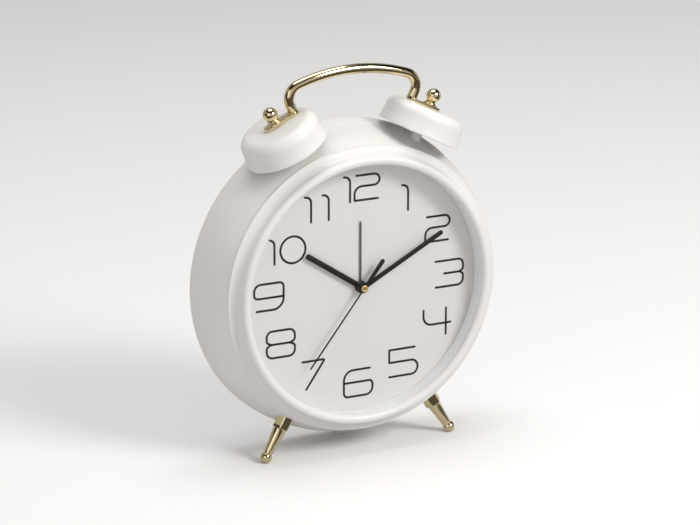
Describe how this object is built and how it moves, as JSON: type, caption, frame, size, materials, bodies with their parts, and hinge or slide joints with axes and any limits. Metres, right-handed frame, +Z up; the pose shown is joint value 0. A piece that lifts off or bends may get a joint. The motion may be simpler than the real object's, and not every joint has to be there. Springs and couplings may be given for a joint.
{
  "type": "alarm clock",
  "caption": "Free-standing twin-bell quartz alarm clock: deep round drum, coved ring, clear lens, bar hands, hat-shaped bells, bent rod handle, turned splayed legs.",
  "frame": {"origin": "bottom centre of the clock's bounding box, on the surface it stands on", "axes": "+X to the clock's right as the dial is read, +Y from the dial to the back, +Z up"},
  "size_m": [0.234, 0.0656, 0.2854],
  "materials": {
    "white_paint": "satin white paint",
    "white_plastic": "satin white",
    "clear_glass": "clear, polished",
    "dial_card": "matt print, warm white",
    "white_moulding": "matt white",
    "steel": "zinc plated",
    "champagne_gold": "polished champagne gold plating",
    "rubber": "matt",
    "black_plastic": "matt black",
    "natural_plastic": "natural white moulding",
    "arbor_steel": "polished",
    "magnet": "dark magnet with moulded pinion",
    "copper": "lacquered copper wire",
    "board": "green solder mask",
    "can": "bright can",
    "cell": "printed jacket, plain",
    "knob_plastic": "matt black",
    "black_hand": "satin black",
    "silver_hand": "bare, bright",
    "brass_boss": "polished"
  },
  "bodies": {
    "clock": {"drum_shell": "white_paint", "bell_left": "white_paint", "bell_right": "white_paint", "bell_post_left": "white_paint", "bell_post_right": "white_paint", "bezel_ring": "white_plastic", "spacer_ring": "white_plastic", "lens": "clear_glass", "dial_plate": "dial_card", "dial_carrier": "white_moulding", "back_cover": "white_moulding", "carrier_screws": "steel", "cover_screws": "steel", "movement_screws": "steel", "post_nuts": "steel", "leg_nuts": "steel", "battery_plate": "steel", "battery_spring": "steel", "stator": "steel", "handle": "champagne_gold", "finial_left": "champagne_gold", "finial_right": "champagne_gold", "leg_left": "champagne_gold", "leg_right": "champagne_gold", "rear_foot": "rubber", "movement_front_shell": "black_plastic", "movement_back_shell": "black_plastic", "buzzer": "black_plastic", "movement_mid_plate": "natural_plastic", "coil_bobbin": "natural_plastic", "coil_winding": "copper", "circuit_board": "board", "quartz_crystal": "can", "battery": "cell"},
    "second": {"second_hand": "black_hand", "second_hand_boss": "brass_boss", "second_wheel": "arbor_steel"},
    "minute": {"minute_hand": "black_hand", "centre_wheel": "natural_plastic"},
    "hour": {"hour_hand": "black_hand", "hour_wheel": "natural_plastic"},
    "alarm": {"alarm_hand": "silver_hand", "alarm_wheel": "natural_plastic"},
    "third": {"third_wheel": "natural_plastic"},
    "motion": {"motion_wheel": "natural_plastic", "time_knob": "knob_plastic"},
    "setting": {"alarm_setting_wheel": "natural_plastic", "alarm_knob": "knob_plastic"},
    "fifth": {"fifth_wheel": "natural_plastic"},
    "rotor": {"rotor": "magnet"},
    "switch": {"alarm_switch": "knob_plastic"}
  },
  "joints": [
    {"name": "second_hand_turn", "type": "hinge", "parent": "clock", "child": "second", "pos_m": [0, 0, 0.12367], "axis": [0, 1, 0], "continuous": true},
    {"name": "minute_hand_turn", "type": "hinge", "parent": "clock", "child": "minute", "pos_m": [0, 0, 0.12367], "axis": [0, 1, 0], "continuous": true},
    {"name": "hour_hand_turn", "type": "hinge", "parent": "clock", "child": "hour", "pos_m": [0, 0, 0.12367], "axis": [0, 1, 0], "continuous": true},
    {"name": "alarm_hand_turn", "type": "hinge", "parent": "clock", "child": "alarm", "pos_m": [0, 0, 0.12367], "axis": [0, 1, 0], "continuous": true},
    {"name": "third_wheel_turn", "type": "hinge", "parent": "clock", "child": "third", "pos_m": [-0.00686, 0, 0.12763], "axis": [0, 1, 0], "continuous": true},
    {"name": "time_knob_turn", "type": "hinge", "parent": "clock", "child": "motion", "pos_m": [0.00866, 0, 0.12867], "axis": [0, 1, 0], "continuous": true},
    {"name": "alarm_knob_turn", "type": "hinge", "parent": "clock", "child": "setting", "pos_m": [-0.00547, 0, 0.1387], "axis": [0, 1, 0], "continuous": true},
    {"name": "fifth_wheel_turn", "type": "hinge", "parent": "clock", "child": "fifth", "pos_m": [0.00686, 0, 0.11971], "axis": [0, 1, 0], "continuous": true},
    {"name": "rotor_turn", "type": "hinge", "parent": "clock", "child": "rotor", "pos_m": [0.01246, 0, 0.11971], "axis": [0, 1, 0], "continuous": true},
    {"name": "alarm_switch_slide", "type": "slide", "parent": "clock", "child": "switch", "axis": [1, 0, 0], "range_m": [0, 0.004]}
  ],
  "couplings": [
    {"joint": "third_wheel_turn", "follows": "second_hand_turn", "ratio": -0.13333},
    {"joint": "minute_hand_turn", "follows": "second_hand_turn", "ratio": 0.016667},
    {"joint": "time_knob_turn", "follows": "second_hand_turn", "ratio": -0.0055556},
    {"joint": "hour_hand_turn", "follows": "second_hand_turn", "ratio": 0.0013889},
    {"joint": "fifth_wheel_turn", "follows": "second_hand_turn", "ratio": -5},
    {"joint": "rotor_turn", "follows": "second_hand_turn", "ratio": 30},
    {"joint": "alarm_hand_turn", "follows": "alarm_knob_turn", "ratio": -1}
  ]
}
